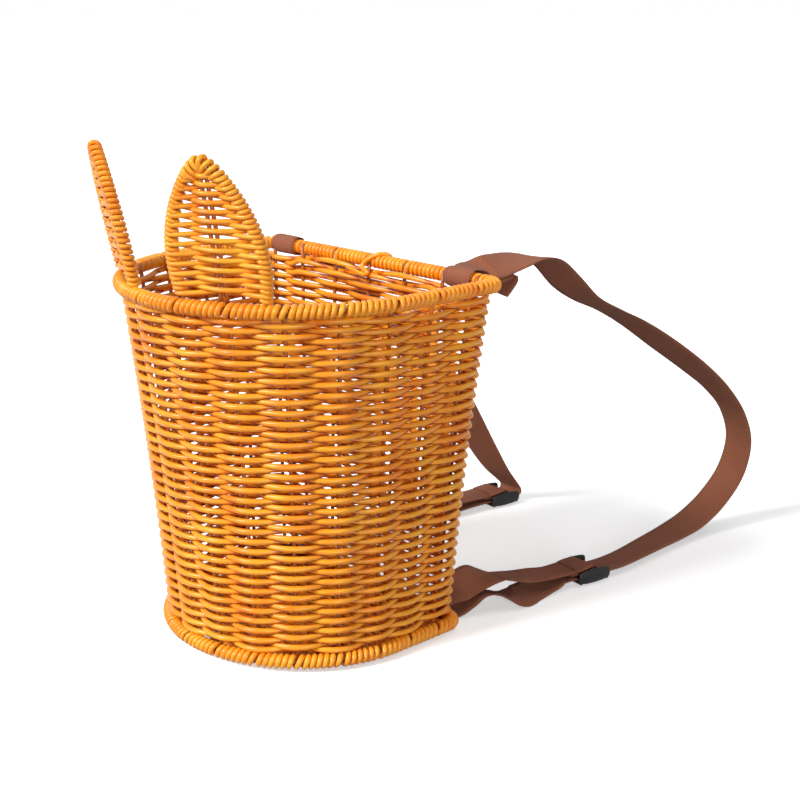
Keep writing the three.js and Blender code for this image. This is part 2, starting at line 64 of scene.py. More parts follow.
class Tint:
    """A shader value on a surface that takes part in ordinary sums."""

    def __init__(self, tree, socket=None):
        self.tree = tree
        self.socket = socket

    def add(self, kind, settings=None, inputs=None, out=0):
        """One output of a new node, whose settings come first and then its sockets' values or links."""
        node = self.tree.nodes.new(kind)
        for key, value in (settings or {}).items():
            setattr(node, key, value)
        for key, value in (inputs or {}).items():
            if isinstance(value, Tint):
                self.tree.links.new(value.socket, node.inputs[key])
            else:
                node.inputs[key].default_value = value
        return Tint(self.tree, node.outputs[out])

    def sum(self, operation, first, second):
        return self.add("ShaderNodeMath", {"operation": operation}, {0: first, 1: second})

    def __add__(self, other):
        return self.sum("ADD", self, other)

    def __mul__(self, other):
        return self.sum("MULTIPLY", self, other)

    __radd__ = __add__
    __rmul__ = __mul__

    def blend(self, first, second):
        """The colour between two others, each a constant or a shader value."""
        ends = [end if isinstance(end, Tint) else (*end, 1) for end in (first, second)]
        return self.add("ShaderNodeMix", {"data_type": "RGBA"}, {0: self, 6: ends[0], 7: ends[1]}, out=2)


def finish(name, roughness, constants=None):
    """A new material, the start of its shader sums and a call that joins them to its surface."""
    material = bpy.data.materials.new(name)
    material.use_nodes = True
    tree = material.node_tree
    surface = tree.nodes["Principled BSDF"]
    surface.inputs["Roughness"].default_value = roughness
    for key, value in (constants or {}).items():
        surface.inputs[key].default_value = value

    def join(**links):
        for key, value in links.items():
            tree.links.new(value.socket, surface.inputs[key.replace("_", " ")])

    return material, Tint(tree), join


def coated_wire():
    """Steel wire in a brown plastic coat, with amber patches and a fine grain."""
    material, start, join = finish("coated_wire", 0.45, {"Coat Weight": 0.15})
    place = start.add("ShaderNodeTexCoord", out="Object")
    patch = start.add("ShaderNodeTexNoise", None, {"Vector": place, "Scale": 90.0, "Detail": 3.0})
    grain = start.add("ShaderNodeTexNoise", None, {"Vector": place, "Scale": 1400.0, "Detail": 2.0})
    bump = start.add("ShaderNodeBump", None, {"Height": grain, "Strength": 0.15, "Distance": 0.0002})
    join(Base_Color=patch.blend(WIRE_BROWN, WIRE_AMBER), Roughness=0.36 + 0.2 * patch, Normal=bump)
    return material


wire_finish = coated_wire()
for node in ("rim_hoop_wire", "base_hoop_wire"):
    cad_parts[node].data.materials.clear()
    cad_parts[node].data.materials.append(wire_finish)


def hoop_size(node, corner):
    """The reach and height of a hoop's middle line. Its solid is six-sided and stands on its flats."""
    low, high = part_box(node)
    flat = WIRE / 2 * math.cos(math.pi / 6)
    return {"half": high.x - flat, "front": -low.y - flat, "back": high.y - flat, "corner": corner,
            "z": (low.z + high.z) / 2}


rim = hoop_size("rim_hoop_wire", RIM_CORNER)
base = hoop_size("base_hoop_wire", BASE_CORNER)
hoop_rise = rim["z"] - base["z"]

# The upright stakes: twenty-one lengths of the same coated wire, standing from the base hoop to the rim
# hoop just inside both, leaning out with the taper and bound in by the wraps. The odd number lets one
# cane weave round and round and still pass each stake on the other side at every turn.
FLARE = 0.3
STAKE_ENDS = (-234.5 * MM, 245.5 * MM)
STAKE_COUNT = 16
BACK_STAKE_ENDS = (62 * MM, -70.8 * MM)
BACK_STAKE_COUNT = 5
STAKE_PAST = 3.0 * MM
STAKE_RINGS = 24
WIRE_SIDES = 12
WALL_INSET = 3.3 * MM
RULER_STEPS = 4000
# Places round a hoop count from the front centre: these are the ends of the half oval, of the straight
# side, of the corner and of half the back.
ARC = 14
SIDE = 17
TURN = 20
BACK = 26


def plan(index, height, offset=0.0):
    """Points on the basket at hoop places and heights (0 base hoop, 1 rim hoop), moved out by an offset."""
    index = np.asarray(index, float) % (2 * BACK)
    hand = np.where(index > BACK, -1.0, 1.0)
    index = np.where(index > BACK, 2 * BACK - index, index)
    height = np.broadcast_to(np.asarray(height, float), index.shape)
    share = height + FLARE * (height * height - height)
    half, front, back, corner = (base[k] + (rim[k] - base[k]) * share + offset
                                 for k in ("half", "front", "back", "corner"))
    arc = np.pi * index / (2 * ARC)
    bend = np.pi / 2 * (index - SIDE) / (TURN - SIDE)
    zones = [index < ARC, index < SIDE, index < TURN]
    x = np.select(zones, [half * np.sin(arc), half, half - corner + corner * np.cos(bend)],
                  (half - corner) * (BACK - index) / (BACK - TURN))
    y = np.select(zones, [-front * np.cos(arc), (back - corner) * (index - ARC) / (SIDE - ARC),
                          back - corner + corner * np.sin(bend)], back)
    z = base["z"] + hoop_rise * height
    return np.stack([hand * x, y, z], axis=-1)


def ruler(height):
    """Hoop places with the length round from the front centre to each."""
    index = np.linspace(0, 2 * BACK, RULER_STEPS + 1)
    steps = np.linalg.norm(np.diff(plan(index, height), axis=0), axis=1)
    return index, np.concatenate([[0], np.cumsum(steps)])


def strands(name, paths, radius, sides, material):
    """Round lengths along rows of points, as one smooth mesh with a map (round, along) for its finish."""
    corners, faces, mapped, first = [], [], [], 0
    turn = 2 * np.pi * np.arange(sides) / sides
    for path in paths:
        path = np.asarray(path, float)
        thick = np.broadcast_to(radius, len(path))[:, None, None]
        run = np.gradient(path, axis=0)
        run /= np.linalg.norm(run, axis=1, keepdims=True)
        length = np.concatenate([[0], np.cumsum(np.linalg.norm(np.diff(path, axis=0), axis=1))])
        side = np.empty_like(path)
        last = np.cross(run[0], (0, 0, 1) if abs(run[0][2]) < 0.8 else (0, 1, 0))
        for i, ahead in enumerate(run):
            last = last - ahead * (last @ ahead)
            last = last / np.sqrt(last @ last)
            side[i] = last
        other = np.cross(run, side)
        ring = np.cos(turn)[None, :, None] * side[:, None] + np.sin(turn)[None, :, None] * other[:, None]
        corners.append((path[:, None] + thick * ring).reshape(-1, 3))
        rows = first + np.arange(len(path) - 1)[:, None] * sides
        here, beyond = np.arange(sides)[None], (np.arange(sides)[None] + 1) % sides
        faces.append(np.stack([rows + here, rows + beyond, rows + sides + beyond, rows + sides + here], -1)
                     .reshape(-1, 4))
        u = np.broadcast_to(np.arange(sides)[None] / sides, (len(path) - 1, sides))
        v0 = np.broadcast_to(length[:-1, None], u.shape)
        v1 = np.broadcast_to(length[1:, None], u.shape)
        step = u + 1 / sides
        mapped.append(np.stack([u, v0, step, v0, step, v1, u, v1], -1).reshape(-1, 2))
        first += len(path) * sides
    caps, count = [], 0
    for path in paths:
        caps.append([count + k for k in reversed(range(sides))])
        count += len(path) * sides
        caps.append([count - sides + k for k in range(sides)])
    walls = np.concatenate(faces)
    mesh = bpy.data.meshes.new(name)
    mesh.from_pydata(np.concatenate(corners), [], walls.tolist() + caps)
    grid = np.concatenate([*mapped, np.zeros((len(caps) * sides, 2))])
    mesh.uv_layers.new(name="StrandMap").data.foreach_set("uv", grid.astype(np.float32).ravel())
    mesh.polygons.foreach_set("use_smooth", np.ones(len(mesh.polygons), bool))
    mesh.materials.append(material)
    piece = bpy.data.objects.new(name, mesh)
    bpy.context.collection.objects.link(piece)
    return piece


rim_index, rim_length = ruler(1.0)
back_lengths = rim_length[-1] / 2 - np.linspace(*BACK_STAKE_ENDS, BACK_STAKE_COUNT)
stake_lengths = np.concatenate([np.linspace(*STAKE_ENDS, STAKE_COUNT), back_lengths])
stake_places = np.interp(stake_lengths % rim_length[-1], rim_length, rim_index)
stake_heights = np.linspace(0, 1 + STAKE_PAST / hoop_rise, STAKE_RINGS)
for number, place in enumerate(stake_places, 1):
    path = plan(np.full(STAKE_RINGS, place), stake_heights, -WALL_INSET)
    stake = strands(f"upright_stake_{number:02d}", [path], WIRE / 2, WIRE_SIDES, wire_finish)
    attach(stake, "basket")
    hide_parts(f"stake_{number:02d}")

# The wall: one long round plastic cane, woven in front of one stake and behind the next, turn upon turn
# from the base to the rim. The turns press each other thinner between the stakes and leave small openings
# beside them. Under the straps' loops they are pushed down, and elsewhere at the back tucked up to the rim.
WEAVE_CANE = 3.7 * MM
WEAVE_NIP = 0.88
WEAVE_PITCH = 3.2 * MM
WEAVE_SEAT = 0.3 * MM
WEAVE_LAST_STAKES = 12
WEAVE_DIP = 2.0 * MM
WEAVE_TUCK = 3.2 * MM
TUCK_FROM = 0.8
DIP_DEPTH = 18 * MM
DIP_HALF = 15 * MM
LOOP_X = {"right": 75.3, "left": -89.5}
WANDER = 0.2 * MM
WANDER_BEATS = (1.7, 0.37)
WALL_LENGTHS = 2
SPAN_RINGS = 10
CANE_SIDES = 8
WRAP_CANE = 3.5 * MM
ROLL = WIRE / 2 + WRAP_CANE
# Painted shade: between these depths from the wall's middle surface the cane turns dark red, in the grooves
# between the turns where shade falls.
GROOVE_SHADE_DEPTHS = (0.2 * MM, 1.0 * MM)
CANE_DEEP = (0.87, 0.20, 0.004)
CANE_BRIGHT = (0.98, 0.46, 0.028)
CANE_GROOVE_SHADE = (0.32, 0.034, 0.001)


def cane():
    """Honey-orange extruded plastic: satin, with faint drawn lines and slow changes of colour along it, and
    painted shade, a dark red, in the grooves of the weave."""
    material, start, join = finish("plastic_cane", 0.35, {"Specular IOR Level": 0.3, "Coat Weight": 0.15,
                                                          "Coat Roughness": 0.22})
    along = start.add("ShaderNodeUVMap", {"uv_map": "StrandMap"})
    place = start.add("ShaderNodeTexCoord", out="Object")
    stretch = start.add("ShaderNodeVectorMath", {"operation": "MULTIPLY"}, {0: along, 1: (6.0, 40.0, 1.0)})
    streak = start.add("ShaderNodeTexNoise", None, {"Vector": stretch, "Scale": 2.0, "Detail": 3.0})
    patch = start.add("ShaderNodeTexNoise", None, {"Vector": place, "Scale": 38.0, "Detail": 2.0})
    grain = start.add("ShaderNodeTexNoise", None, {"Vector": place, "Scale": 1600.0, "Detail": 2.0})
    tone = 0.55 * streak + 0.45 * patch
    bump = start.add("ShaderNodeBump", None, {"Height": grain + 2.0 * streak, "Strength": 0.12,
                                              "Distance": 0.00015})
    contrast = start.add("ShaderNodeMapRange", None, {"Value": tone, "From Min": 0.34, "From Max": 0.66})
    # Painted shade: the cane's colour is blended towards a dark red in the grooves of the weave, by an
    # attribute made with the wall.
    groove_shade = start.add("ShaderNodeAttribute", {"attribute_name": "groove_shade"}, out="Fac")
    colour = groove_shade.blend(contrast.blend(CANE_DEEP, CANE_BRIGHT), CANE_GROOVE_SHADE)
    join(Base_Color=colour, Roughness=0.28 + 0.16 * streak, Normal=bump)
    return material


def outward(index, height):
    """The level way out of the basket at hoop places and heights."""
    across = plan(index, height, 0.5 * MM) - plan(index, height, -0.5 * MM)
    return across / np.linalg.norm(across, axis=-1, keepdims=True)


cane_finish = cane()
stake_count = len(stake_lengths)
weave_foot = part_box("woven_wall")[0].z - base["z"]
weave_low = ROLL + WEAVE_CANE / 2 - WEAVE_SEAT
weave_high = hoop_rise - weave_low
step_count = round((weave_high - weave_foot) / WEAVE_PITCH) * stake_count + WEAVE_LAST_STAKES
steps = np.arange(step_count * SPAN_RINGS + 1) / SPAN_RINGS
once_round = np.append(stake_lengths, stake_lengths[0] + rim_length[-1])
weave_length = np.interp(steps % stake_count, np.arange(stake_count + 1), once_round)
weave_place = np.interp(weave_length % rim_length[-1], rim_length, rim_index)
weave_rise = np.clip(weave_foot + WEAVE_PITCH * steps / stake_count, weave_low, weave_high)
weave_rise += WANDER * np.sin(WANDER_BEATS[0] * steps) * np.sin(WANDER_BEATS[1] * steps + 1.0)
above = plan(weave_place, 1.0)
sway = -np.cos(np.pi * steps)
dip = sum(np.exp(-((above[:, 0] - x * MM) / DIP_HALF) ** 4) for x in LOOP_X.values()) * (above[:, 1] > 0)
at_back = np.clip((above[:, 1] / rim["back"] - TUCK_FROM) / (1 - TUCK_FROM), 0, 1)
tuck = (1 - dip) * (1 - sway) / 2 * at_back
near_rim = np.clip(1 + (weave_rise - weave_high) / DIP_DEPTH, 0, 1)
weave_rise += (WEAVE_TUCK * tuck - WEAVE_DIP * dip) * near_rim
weave_radius = WEAVE_CANE / 2 * (WEAVE_NIP + (1 - WEAVE_NIP) * np.abs(sway))
weave_height = weave_rise / hoop_rise
weave_middle = plan(weave_place, weave_height, -WALL_INSET)
weave_out = outward(weave_place, weave_height)
weave_path = weave_middle + weave_out * ((WIRE + WEAVE_CANE) / 2 * sway)[:, None]
cuts = np.linspace(0, len(weave_path) - 1, WALL_LENGTHS + 1).astype(int)
for number, (first, last) in enumerate(zip(cuts[:-1], cuts[1:]), 1):
    span = slice(first, last + 1)
    weave = strands(f"wall_weave_{number}", [weave_path[span]], weave_radius[span], CANE_SIDES, cane_finish)
    # Painted shade: each point of the wall's cane gets a share of the dark groove colour by how near it lies
    # to the wall's middle surface, where the turns pass into each other's shade.
    skin = np.array([corner.co for corner in weave.data.vertices]).reshape(-1, CANE_SIDES, 3)
    depth = np.abs(((skin - weave_middle[span, None]) * weave_out[span, None]).sum(-1)).ravel()
    groove_shade = np.interp(depth, GROOVE_SHADE_DEPTHS, (1, 0)).astype(np.float32)
    weave.data.attributes.new("groove_shade", "FLOAT", "POINT").data.foreach_set("value", groove_shade)
    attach(weave, "basket")
    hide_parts("woven_wall")

# The hoop wraps: cane wound tightly round each hoop wire and the stake ends, so that the rim and the foot
# of the basket are round rolls. A turn that passes a stake end takes a longer step, which leaves a gap
# with the stake in it. At the middle of the back the wall's cane is locked off over the rim.
WRAP_PITCH = 3.65 * MM
WRAP_RINGS = 16
LEAN = 0.5 * MM
TIE_GAP = 2.0 * MM
LOCK_CANE = 3.0 * MM
LOCK_SIDES = 10
LOCK_STEP = 0.8 * MM
LOCK_ROUTE = [(-24, 63.8, 216.2), (-15, 61.6, 215.6), (-8, 59.8, 214.8), (-2, 59.2, 214.9),
              (0, 59.2, 216.3), (-3, 59.6, 217.6), (-6.5, 60.4, 218.8), (-6.3, 61.8, 221.3),
              (-1.5, 64, 225.2), (3.5, 67.4, 227.6), (6.5, 71.6, 226.8), (7.5, 74, 222.6),
              (7.5, 72.6, 218.4)]


def hoop_wrap(name, height, nodes):
    """The wrap of one hoop, a close winding whose turns lean a little."""
    index, length = ruler(height)
    ties = np.sort(np.interp(stake_places, index, length))
    wound = length[-1] - len(ties) * TIE_GAP
    count = round(wound / WRAP_PITCH)
    turn = np.arange(count * WRAP_RINGS + 1) / WRAP_RINGS
    along = wound * turn / count
    passed = (along[:, None] - ties + TIE_GAP * (np.arange(len(ties)) + 0.5)) / WRAP_PITCH + 0.5
    along = along + TIE_GAP * np.clip(passed, 0, 1).sum(axis=1)
    angle = 2 * np.pi * turn
    place = np.interp((along + LEAN * np.sin(angle)) % length[-1], length, index)
    level = np.full(len(place), height)
    around = np.cos(angle)[:, None] * outward(place, level) + np.sin(angle)[:, None] * np.array([0, 0, 1])
    path = plan(place, level) + (WIRE + WRAP_CANE) / 2 * around
    wrap = strands(name, [path], WRAP_CANE / 2, CANE_SIDES, cane_finish)
    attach(wrap, "basket")
    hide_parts(*nodes)


def flowing(stations, step):
    """A smooth line through given points, with a point about every step of its length."""
    spots = np.asarray(stations, float)
    spots = np.vstack([2 * spots[0] - spots[1], spots, 2 * spots[-1] - spots[-2]])
    knots = np.sqrt(np.linalg.norm(np.diff(spots[:, :3], axis=0), axis=1))
    line = []
    for k in range(1, len(spots) - 2):
        before, here, after = knots[k - 1:k + 2]
        leave = ((spots[k] - spots[k - 1]) / before - (spots[k + 1] - spots[k - 1]) / (before + here)
                 + (spots[k + 1] - spots[k]) / here)
        arrive = ((spots[k + 1] - spots[k]) / here - (spots[k + 2] - spots[k]) / (here + after)
                  + (spots[k + 2] - spots[k + 1]) / after)
        count = max(2, math.ceil(here ** 2 / step))
        t = np.arange(count)[:, None] / count
        line.append((2 * t ** 3 - 3 * t ** 2 + 1) * spots[k] + (t ** 3 - 2 * t ** 2 + t) * here * leave
                    + (3 * t ** 2 - 2 * t ** 3) * spots[k + 1] + (t ** 3 - t ** 2) * here * arrive)
    return np.vstack([*line, spots[-2]])


hoop_wrap("rim_wrap", 1.0, ("rim_wrap_front", "rim_wrap_back"))
hoop_wrap("base_wrap", 0.0, ("base_wrap_front", "base_wrap_back"))
lock_path = flowing(np.array(LOCK_ROUTE) * MM, LOCK_STEP)
lock = strands("rim_lock", [lock_path], LOCK_CANE / 2, LOCK_SIDES, cane_finish)
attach(lock, "basket")

# The base: cane woven from side to side over and under five cross stakes of coated wire, which
# run from front to back inside the base hoop. It is the flat face that the basket stands on.
BASE_STAKE_X = [x * MM for x in (-60, -30, 0, 30, 60)]
BASE_STAKE_RINGS = 6
BASE_CANE = 3.0 * MM
BASE_PITCH = 3.15 * MM
BASE_ROW_RINGS = 61
BASE_MIDDLE = (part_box("base_panel")[0].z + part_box("base_panel")[1].z) / 2
BASE_TUCK = 0.8 * MM
BASE_EDGE = ROLL - BASE_TUCK
BASE_PRESS = 0.1 * MM
BASE_SWING = (WIRE + BASE_CANE) / 2 - BASE_PRESS
for number, x in enumerate(BASE_STAKE_X, 1):
    stake_low, stake_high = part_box(f"base_stake_{number}")
    path = [(x, y, BASE_MIDDLE) for y in np.linspace(stake_low.y, stake_high.y, BASE_STAKE_RINGS)]
    stake = strands(f"cross_stake_{number}", [path], WIRE / 2, WIRE_SIDES, wire_finish)
    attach(stake, "basket")
    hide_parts(f"base_stake_{number}")
base_paths = []
base_back = base["back"] - BASE_EDGE - BASE_CANE / 2
base_front = BASE_EDGE - base["front"] + BASE_CANE
for number, y in enumerate(np.arange(base_back, base_front, -BASE_PITCH)):
    reach = base["half"] - BASE_EDGE
    if y < 0:
        reach *= math.sqrt(max(0, 1 - (y / (base["front"] - BASE_EDGE)) ** 2))
    x = np.linspace(-reach, reach, BASE_ROW_RINGS)
    lift = np.cos(np.pi * x / (BASE_STAKE_X[1] - BASE_STAKE_X[0])) * (-1) ** number
    base_paths.append(np.stack([x, np.full_like(x, y), BASE_MIDDLE + BASE_SWING * lift], -1))
base_weave = strands("base_weave", base_paths, BASE_CANE / 2, CANE_SIDES, cane_finish)
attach(base_weave, "basket")
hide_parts("base_panel")

# The ears: two leaf-shaped wire frames tied upright to the front of the rim, each with a pair of wires up
# its middle. One cane weaves across it, before and behind the middle pair, winds one and a half times round
# the frame at each side, and closes over the tip in a fan of turns. The left ear is woven a little looser.
EAR_ANGLES = {"right": 27.5, "left": -26}
EAR_PAIRS = {"right": 5.7 * MM, "left": 6.5 * MM}
EAR_SKEWS = {"right": -3.8 * MM, "left": 0}
EAR_SKEW_POWER = 1.5
EAR_HALF_SPREAD = 16
EAR_LEAN = 11.5
EAR_THICK = 8.2 * MM
EAR_GAP = 0.3 * MM
EAR_WIRE = [(25, 0), (26.8, 12), (27, 25), (24.6, 39), (19.4, 53), (12, 66), (5.6, 74), (0, 77.6)]
EAR_WIRE_STEP = 0.5 * MM
EAR_WIRE_EVERY = 4
EAR_WIRE_FOOT = -3 * MM
EAR_STAKE_OFFSET = 1.9 * MM
EAR_STAKE_ENDS = (-4 * MM, 70 * MM)
EAR_STAKE_RINGS = 12
EAR_CANE = 2.9 * MM
EAR_FIRST = 0.9 * MM
EAR_LAST_ROW = 73 * MM
EAR_TIP_PITCH = 3.5 * MM
EAR_TIP_REACH = 0.9
EAR_ROW_RINGS = 18
EAR_TURN_RINGS = 16

half_wire = np.array([(u * MM, v * MM, 0) for u, v in EAR_WIRE])
whole_wire = np.vstack([half_wire, half_wire[-2::-1] * (-1, 1, 1)])
frame_line = flowing(whole_wire, EAR_WIRE_STEP)
frame_steps = np.concatenate([[0], np.cumsum(np.linalg.norm(np.diff(frame_line, axis=0), axis=1))])


def on_frame(length):
    """Point of the ear's frame wire at a length from its right foot, and the way out of the leaf there."""
    behind, point, ahead = (np.stack([np.interp(length + shift, frame_steps, frame_line[:, k])
                                      for k in range(3)], -1) for shift in (-MM, 0, MM))
    run = ahead - behind
    out = np.stack([run[..., 1], -run[..., 0], np.zeros_like(run[..., 0])], -1)
    return point, out / np.linalg.norm(out, axis=-1, keepdims=True)


def frame_turns(start, rise, first, last, rings, reach=0.0):
    """Cane wound round the frame wire from one length up by a rise, between two angles in half turns."""
    share = np.linspace(0, 1, rings)
    angle = np.pi * (first + (last - first) * share)
    point, out = on_frame(start + rise * share)
    swing = (WIRE + EAR_CANE) / 2
    radial = np.cos(angle) * np.where(np.cos(angle) < 0, 1 + reach, 1)
    return point + swing * (radial[:, None] * out + np.sin(angle)[:, None] * np.array([0, 0, 1]))


def ear_row(start, end, side):
    """Cane across the leaf between two ends, bowing to one side at the middle pair of wires."""
    share = np.linspace(0, 1, EAR_ROW_RINGS)[1:-1, None]
    depth = side * (WIRE + EAR_CANE) / 2 * (-np.cos(2 * np.pi * share))
    row = start + (end - start) * share
    return np.concatenate([row[:, :2], depth], axis=1)


def ear_cane(pair):
    """The whole cane of a flat ear, with a length of frame wire for each pair of rows."""
    whole = frame_steps[-1]
    quarter = pair / 4
    rings = 3 * EAR_TURN_RINGS // 2
    turns = []
    level = EAR_FIRST
    while level < EAR_LAST_ROW:
        right = frame_turns(level - quarter, 3 * quarter, -0.5, 2.5, rings)
        left = frame_turns(whole - level - quarter, -3 * quarter, 0.5, -2.5, rings)
        next_right = frame_turns(level + pair - quarter, 3 * quarter, -0.5, 2.5, rings)
        turns += [right, ear_row(right[-1], left[0], -1), left, ear_row(left[-1], next_right[0], 1)]
        level += pair
    tip = whole - 2 * level + 2 * quarter
    count = round(tip / EAR_TIP_PITCH)
    rings = count * EAR_TURN_RINGS
    turns.append(frame_turns(level - quarter, tip, -0.5, -0.5 + 2 * count, rings, EAR_TIP_REACH))
    return np.vstack(turns)


def ear_place(points, degrees, skew):
    """Points of a flat ear stood on the rim at an angle from the front, its tip drawn to one side."""
    turn, lean = math.radians(degrees), math.radians(EAR_LEAN)
    out = np.array([math.sin(turn), -math.cos(turn), 0])
    side = np.array([math.cos(turn), math.sin(turn), 0])
    rise = np.array([0, 0, math.cos(lean)]) + out * math.sin(lean)
    foot = out * rim["front"] * math.cos(math.radians(EAR_HALF_SPREAD))
    foot[2] = rim["z"] + ROLL + EAR_GAP + EAR_THICK / 2 * math.sin(lean)
    points = np.array(points, float)
    points[:, 0] += skew * np.clip(points[:, 1] / half_wire[-1, 1], 0, None) ** EAR_SKEW_POWER
    return points @ np.stack([side, rise, np.cross(side, rise)]) + foot


for name, degrees in EAR_ANGLES.items():
    skew = EAR_SKEWS[name]
    cane_path = ear_place(ear_cane(EAR_PAIRS[name]), degrees, skew)
    weave = strands(f"{name}_ear_weave", [cane_path], EAR_CANE / 2, CANE_SIDES, cane_finish)
    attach(weave, "basket")
    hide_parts(f"{name}_ear_leaf")
    end = np.array([[frame_line[0][0], EAR_WIRE_FOOT, 0]])
    wires = {"frame": ("wire", np.vstack([end, frame_line[::EAR_WIRE_EVERY], end * (-1, 1, 1)]))}
    for number, hand in ((1, -1), (2, 1)):
        rise = np.linspace(*EAR_STAKE_ENDS, EAR_STAKE_RINGS)
        wires[f"middle_{number}"] = (f"stake_{number}", [(hand * EAR_STAKE_OFFSET, v, 0) for v in rise])
    for piece_name, (node, wire) in wires.items():
        path = ear_place(wire, degrees, skew)
        rod = strands(f"{name}_ear_{piece_name}", [path], WIRE / 2, WIRE_SIDES, wire_finish)
        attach(rod, "basket")
        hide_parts(f"{name}_ear_{node}")

# The shoulder straps: brown ribbed webbing. Each is one length that is folded round the back of the rim and
# sewn to itself, hangs out behind, passes through a slider, goes round the back of the base hoop and comes
# back to the slider's middle bar, where it is sewn. It is cut here where it crosses a joint.
WEB_WIDTH = 22 * MM
WEB_THICK = 1.2 * MM
WEB_EDGE = 0.35
WEB_GAP = 0.4 * MM
WEB_STEP = 1.5 * MM
WEB_COLUMNS = 9
TURN_STEPS = 8
RIB = 1.55 * MM
TWILL = 0.9 * MM
WEB_DARK = (0.125, 0.033, 0.0145)
WEB_LIGHT = (0.42, 0.155, 0.085)
PIVOT_Y = rim["back"] + 16.5 * MM
SWING_BEND = {"start": (0, PIVOT_Y - 7 * MM, 0), "end": (0, PIVOT_Y + 15 * MM, 0)}
# The straps' places are in millimetres, with a roll in degrees as the fourth. The tail and the part over
# the loop are taken from the strap's pivot and the rim's height, and the route from the pivot's x. leave is
# the angle at which the web leaves the rim, gather counts the slack's places that the slider can push up,
# and join and seam are how far back the return web starts and the loop is sewn.
PIVOT = PIVOT_Y / MM
TOP = rim["z"] / MM
RUN_Z = 5.2
SEWN_REACH = 18
SEWN_LAP = 8
SEWN_Z = 10.2
MIDDLE_BAR = 3.0
MIDDLE_BAR_Z = 9.4
FOLD_GAP = 0.3
FOLD_STEPS = 6
FOLD_FLANKS = [(0, 0.8), (9, 1.2)]
UNDER_BAR = 270
OVER_BAR = 90
STRAPS = {
    "right": {
        "loop": LOOP_X["right"], "leave": OVER_BAR, "pivot": 71, "anchor": 66, "run_end": (91, 203),
        "slider": 178,
        "tail": [(0, 15, -13, 20), (0, 20.5, -8.5, 20), (0, 25, -5, 10), (0, 26, -2.6, -10),
                 (0, 22, -0.6, -26), (0, 14, -0.4, -33), (0, 9, -0.9, -28), (0, 1, -1.0, -19),
                 (2.1, -6.5, -1.8, -6)],
        "over": [(4.3, -10.5, 4.9, 0), (2.2, -5, 3.4, 8), (0, 1, 1.8, 19), (0, 7, 1.8, 28)],
        "route": [(0, 99, 224.6, 33), (0.5, 107, 225.4, 27), (1.7, 119, 226.6, 17), (2, 132, 227, 3),
                  (1.3, 143, 224.4, -10), (0, 154, 219.2, -19), (-3.5, 175, 204.4, -26),
                  (-5, 197, 189.9, -13), (-3, 220, 178.9, -8), (0, 243, 166.9, -13), (6, 272, 147.9, -20),
                  (14, 302, 125.9, -17), (20, 321, 108.9, -8), (24, 337, 88.9, -1), (25.5, 345, 65.9, -2),
                  (23.5, 340, 41.9, -10), (19.5, 324, 22.5, -16), (17.3, 302, 11.3, -16),
                  (17.2, 277, 7.4, -10), (18, 250, 5.9, -4), (19.6, 225, 5.3, 0)],
        "slack": [(84.4, 164, 5.2, 0), (82.8, 152.5, 5.2, -1), (83.3, 146, 4.5, -6), (83, 138, 4, -11),
                  (84, 126, 4.1, -17), (85.5, 114.5, 4.6, -22), (82.5, 107, 6, -7), (77, 98, 9.2, 6),
                  (73, 88, 10.4, 8), (70, 79, 6.6, 3), (67, 70.5, 2.6, 0)],
        "gather": 7,
        "rise": [(66.4, 70, 13, 6), (67.6, 77, 17, 34), (69.4, 85, 20, 38), (72, 95, 19.8, 14)],
        "return": [(74.3, 104, 18.4, -2), (76.5, 114, 15.8, 2), (78, 126, 12.9, 5), (80.5, 140, 11.4, 4)],
        "join": 104, "seam": 92.5,
    },
    "left": {
        "loop": LOOP_X["left"], "leave": 40, "pivot": -80, "anchor": -66, "run_end": (-58.6, 262),
        "slider": 249,
        "tail": [(0, 6.6, -20, 0), (0, 6, -9, 0), (0, 4.5, -6.6, 0), (0, 0, -6.1, 0), (-4.7, -6, -6.2, 0)],
        "over": [(-7.2, -8.5, -1.0, 0), (-3.2, -4, -3.2, 0), (0, 2, -3.8, 0)],
        "route": [(0, 94, 217.6, 0), (0, 100, 215.5, 0), (0.1, 106, 210.6, 0), (0.5, 114, 200.5, -4),
                  (2, 126, 183, -14), (5, 145, 160, -26), (9, 168, 139, -34), (13, 190.5, 116, -36),
                  (16.2, 208, 92, -36), (17.5, 216.5, 77.9, -34), (19.5, 233.5, 49.7, -26),
                  (21, 249.5, 27, -12), (21.4, 261.5, 14.3, -3), (21.5, 265.5, 9.3, 0),
                  (21.5, 264.9, 6.3, 0)],
        "slack": [(-63.4, 222, 5.2, 0), (-66.1, 200, 4.4, 0), (-70.4, 164, 3.4, 0), (-75, 126, 3.4, 0),
                  (-77.8, 104, 3.6, 0), (-80, 93, 3.6, 0), (-80, 81, 3.6, 0), (-73, 73, 3, 0)],
        "gather": 5,
        "rise": [(-73, 70, 9.8, 0), (-80, 80, 8.6, 0), (-78.7, 96, 8.6, 0)],
        "return": [(-77.7, 104, 8.6, 0), (-76.5, 114, 9.0, 0), (-70.7, 164, 10.0, 0), (-64.4, 218, 10.2, 0)],
        "join": 104, "seam": 95,
    },
}


